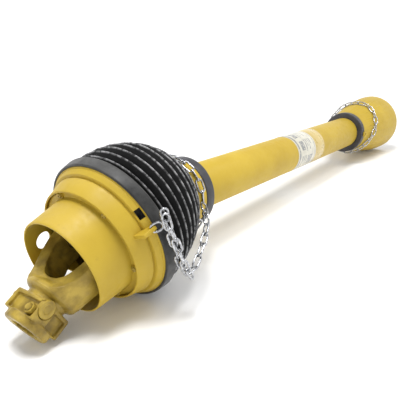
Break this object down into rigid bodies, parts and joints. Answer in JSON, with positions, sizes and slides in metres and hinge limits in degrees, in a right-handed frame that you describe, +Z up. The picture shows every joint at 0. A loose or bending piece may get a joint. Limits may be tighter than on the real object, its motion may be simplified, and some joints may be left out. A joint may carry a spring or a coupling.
{
  "type": "universal joint shaft",
  "caption": "Guarded telescopic drive shaft with a wide-angle double joint under a shield and bellows at one end and a single universal joint in a bell at the other.",
  "frame": {"origin": "middle of the bounding box at the ground the shaft lies on", "axes": "+X along the shaft from the wide-angle joint to the far joint, in plan; +Z up from the ground"},
  "size_m": [1.2268, 0.2188, 0.2026],
  "materials": {
    "yellow_guard_plastic": "matt golden-yellow moulded plastic",
    "yellow_painted_steel": "yellow paint on forged steel",
    "black_rubber": "matt black rubber with a grey sheen",
    "black_nylon": "satin black nylon",
    "zinc_plated_steel": "bright zinc plate",
    "bare_steel": "oiled machined steel",
    "bare_steel_tube": "drawn steel tube, greased",
    "label_film": "white printed film"
  },
  "bodies": {
    "drive_near": {"inner_yoke_near": "yellow_painted_steel", "drive_tube_outer": "yellow_painted_steel", "roll_pin_near": "bare_steel", "cup_inner_left": "bare_steel", "cup_inner_right": "bare_steel", "bellows": "black_rubber"},
    "guard_near": {"base_cone_near": "yellow_guard_plastic", "collar_near": "black_nylon", "bearing_near": "black_nylon", "guard_tube_outer": "yellow_guard_plastic", "label": "label_film", "chain_near": "zinc_plated_steel"},
    "guard_far": {"guard_tube_inner": "yellow_guard_plastic", "bell_far": "yellow_guard_plastic", "collar_far": "black_nylon", "bearing_far": "black_nylon", "chain_far": "zinc_plated_steel", "chain_clip_far": "yellow_guard_plastic"},
    "drive_far": {"inner_yoke_far": "yellow_painted_steel", "drive_tube_inner": "bare_steel_tube", "roll_pin_far": "bare_steel", "cup_far_left": "bare_steel", "cup_far_right": "bare_steel"},
    "cross_inner": {"cross_inner": "bare_steel", "nipple_inner": "bare_steel"},
    "centre_yoke": {"centre_yoke": "yellow_painted_steel", "centring_disc": "bare_steel", "cup_centre_front_top": "bare_steel", "cup_centre_front_low": "bare_steel", "cup_centre_rear_top": "bare_steel", "cup_centre_rear_low": "bare_steel"},
    "cross_outer": {"cross_outer": "bare_steel", "nipple_outer": "bare_steel"},
    "outer_yoke": {"outer_yoke": "yellow_painted_steel", "cup_outer_left": "bare_steel", "cup_outer_right": "bare_steel", "clamp_pin_top": "yellow_painted_steel", "clamp_nut_top": "yellow_painted_steel", "clamp_pin_side": "yellow_painted_steel", "clamp_nut_side": "yellow_painted_steel"},
    "shield": {"shield_front": "yellow_guard_plastic", "shield_ring": "yellow_guard_plastic", "shield_bearing": "black_nylon", "bellows_band": "black_rubber", "chain_hook_near": "zinc_plated_steel", "shield_screw_1": "yellow_painted_steel", "shield_screw_2": "yellow_painted_steel", "shield_screw_3": "yellow_painted_steel", "shield_screw_4": "yellow_painted_steel", "shield_screw_5": "yellow_painted_steel", "shield_screw_6": "yellow_painted_steel"},
    "cross_far": {"cross_far": "bare_steel", "nipple_far": "bare_steel"},
    "far_yoke": {"far_yoke": "yellow_painted_steel", "cup_far_top": "bare_steel", "cup_far_low": "bare_steel", "push_pin_spring": "bare_steel"},
    "push_pin": {"push_pin": "bare_steel"}
  },
  "joints": [
    {"name": "guard_spin", "type": "hinge", "parent": "drive_near", "child": "guard_near", "pos_m": [-0.32594, 0.0091, 0.10679], "axis": [0.9993, 0, -0.0363], "continuous": true},
    {"name": "telescope", "type": "slide", "parent": "drive_near", "child": "drive_far", "axis": [0.9993, 0, -0.0363], "range_m": [0, 0.33]},
    {"name": "guard_slide", "type": "slide", "parent": "guard_near", "child": "guard_far", "axis": [0.9993, 0, -0.0363], "range_m": [0, 0.33]},
    {"name": "cv_pitch", "type": "hinge", "parent": "drive_near", "child": "cross_inner", "pos_m": [-0.40789, 0.0091, 0.10976], "axis": [0, -1, 0], "range_deg": [-37, 5], "deforming": ["bellows", "chain_near"]},
    {"name": "cv_yaw", "type": "hinge", "parent": "cross_inner", "child": "centre_yoke", "pos_m": [-0.40789, 0.0091, 0.10976], "axis": [-0.2423, 0, 0.9702], "range_deg": [-8, 8]},
    {"name": "cv_yaw_outer", "type": "hinge", "parent": "centre_yoke", "child": "cross_outer", "pos_m": [-0.48939, 0.0091, 0.08941], "axis": [-0.2423, 0, 0.9702], "range_deg": [-8, 8]},
    {"name": "cv_pitch_outer", "type": "hinge", "parent": "cross_outer", "child": "outer_yoke", "pos_m": [-0.48939, 0.0091, 0.08941], "axis": [0, -1, 0], "range_deg": [-37, 5]},
    {"name": "shield_spin", "type": "hinge", "parent": "centre_yoke", "child": "shield", "pos_m": [-0.44864, 0.0091, 0.09959], "axis": [0.9702, 0, 0.2423], "continuous": true},
    {"name": "far_pitch", "type": "hinge", "parent": "drive_far", "child": "cross_far", "pos_m": [0.5175, 0.0091, 0.07618], "axis": [0, 1, 0], "range_deg": [-25, 25]},
    {"name": "far_yaw", "type": "hinge", "parent": "cross_far", "child": "far_yoke", "pos_m": [0.5175, 0.0091, 0.07618], "axis": [0.0363, 0, 0.9993], "range_deg": [-25, 25]},
    {"name": "push_pin", "type": "slide", "parent": "far_yoke", "child": "push_pin", "axis": [0, 1, 0], "range_m": [0, 0.006], "stiffness_N_per_m": 2500, "springref_m": -0.002, "deforming": ["push_pin_spring"]}
  ],
  "couplings": [
    {"joint": "guard_slide", "follows": "telescope", "ratio": 1},
    {"joint": "cv_yaw_outer", "follows": "cv_yaw", "ratio": 1},
    {"joint": "cv_pitch_outer", "follows": "cv_pitch", "ratio": 1},
    {"joint": "shield_spin", "follows": "guard_spin", "ratio": 1}
  ]
}
